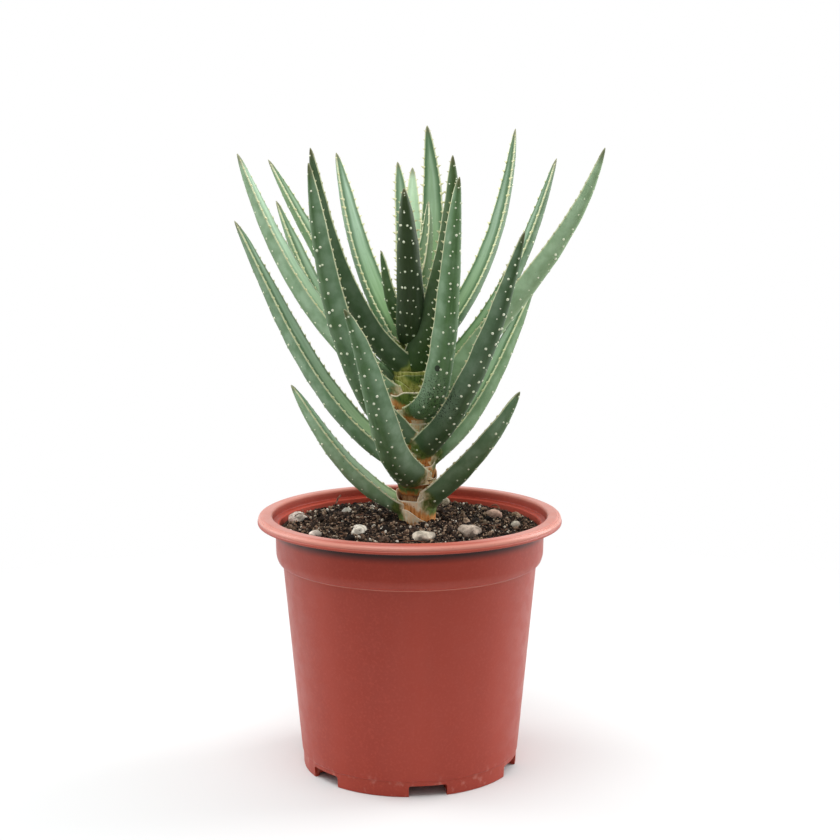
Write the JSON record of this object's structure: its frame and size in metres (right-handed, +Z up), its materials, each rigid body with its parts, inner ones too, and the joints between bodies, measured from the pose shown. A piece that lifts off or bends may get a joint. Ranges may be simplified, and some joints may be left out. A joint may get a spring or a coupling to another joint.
{
  "type": "potted kokerboom tree",
  "caption": "Young quiver tree with upswept toothed leaves on a short tan stem, in a terracotta-coloured nursery pot of soil.",
  "frame": {"origin": "on the pot's axis, at the level of the surface that its feet stand on", "axes": "+Z is up along the pot's axis; -Y faces the viewer of the picture and +X is to the viewer's right"},
  "size_m": [0.1545, 0.13, 0.2725],
  "materials": {
    "pot": "satin",
    "soil": "matte",
    "stem": "matte",
    "leaf": "satin",
    "stone": "matte"
  },
  "bodies": {
    "root": {"pot": "pot", "soil": "soil", "stem": "stem", "leaf_01": "leaf", "leaf_02": "leaf", "leaf_03": "leaf", "leaf_04": "leaf", "leaf_05": "leaf", "leaf_06": "leaf", "leaf_07": "leaf", "leaf_08": "leaf", "leaf_09": "leaf", "leaf_10": "leaf", "leaf_11": "leaf", "leaf_12": "leaf", "leaf_13": "leaf", "leaf_14": "leaf", "leaf_15": "leaf", "leaf_16": "leaf", "leaf_17": "leaf", "leaf_18": "leaf", "leaf_19": "leaf", "leaf_20": "leaf", "leaf_21": "leaf", "leaf_22": "leaf", "leaf_23": "leaf", "leaf_24": "leaf", "leaf_25": "leaf", "stone_01": "stone", "stone_02": "stone", "stone_03": "stone", "stone_04": "stone", "stone_05": "stone", "stone_06": "stone", "stone_07": "stone", "stone_08": "stone", "stone_09": "stone", "stone_10": "stone"}
  },
  "joints": []
}
